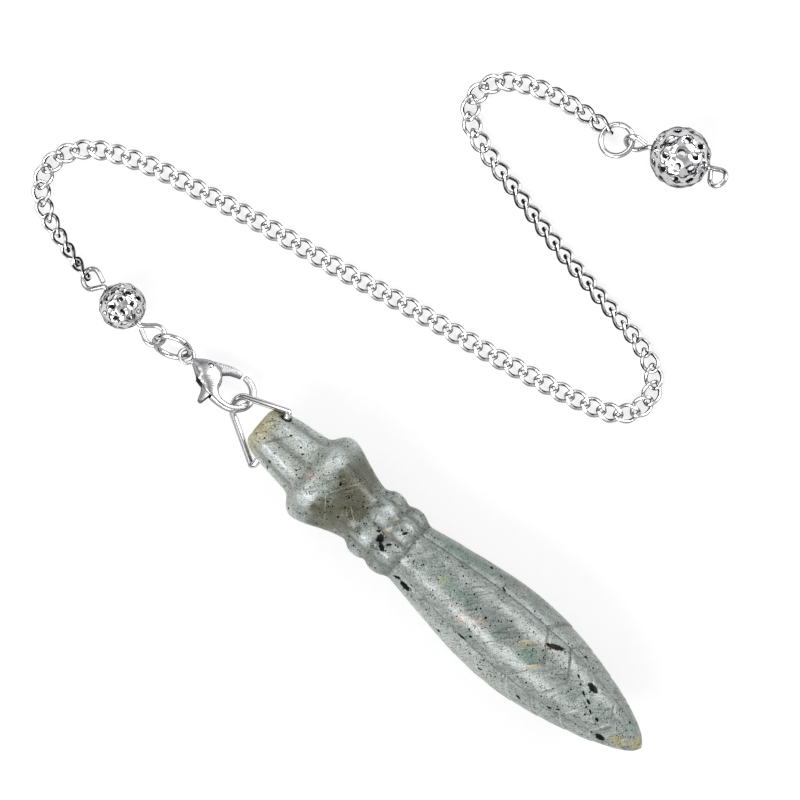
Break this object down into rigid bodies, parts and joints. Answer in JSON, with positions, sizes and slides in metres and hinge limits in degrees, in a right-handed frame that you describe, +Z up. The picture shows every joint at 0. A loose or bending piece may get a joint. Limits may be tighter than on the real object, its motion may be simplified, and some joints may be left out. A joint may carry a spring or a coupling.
{
  "type": "pendulum pendant",
  "caption": "Pendulum pendant: a carved pointed stone with a lobed neck and beaded rows, hung by a wire triangle and lobster clasp on a curb chain with a pierced metal bead at each end.",
  "frame": {"origin": "centre of the bounding box's bottom face, on the surface that the pendant lies on", "axes": "+Z up, away from the surface; +X to the right and +Y to the top of the picture, which looks straight down"},
  "size_m": [0.085, 0.0828, 0.0124],
  "materials": {
    "labradorite": "polished translucent grey-green stone with black specks and iridescent patches",
    "polished_wire": "bright silver plate",
    "clasp_casting": "satin silver plate, polished on the hook",
    "bead_plate": "bright silver plate",
    "chain_plate": "bright silver plate"
  },
  "bodies": {
    "pendulum": {"stone": "labradorite", "triangle_bail": "polished_wire", "clasp_body": "clasp_casting", "clasp_pin": "clasp_casting", "clasp_ring": "polished_wire", "small_bead": "bead_plate", "small_bead_wire": "polished_wire", "chain": "chain_plate", "end_ring": "polished_wire", "large_bead": "bead_plate", "large_bead_wire": "polished_wire"},
    "lever": {"clasp_lever": "clasp_casting"}
  },
  "joints": [
    {"name": "lever_pivot", "type": "hinge", "parent": "pendulum", "child": "lever", "pos_m": [-0.02079, 0.00503, 0.00195], "axis": [0.1948, 0.3933, 0.8985], "range_deg": [-22, 0], "stiffness_Nm_per_rad": 0.002, "springref_deg": 20.05}
  ]
}
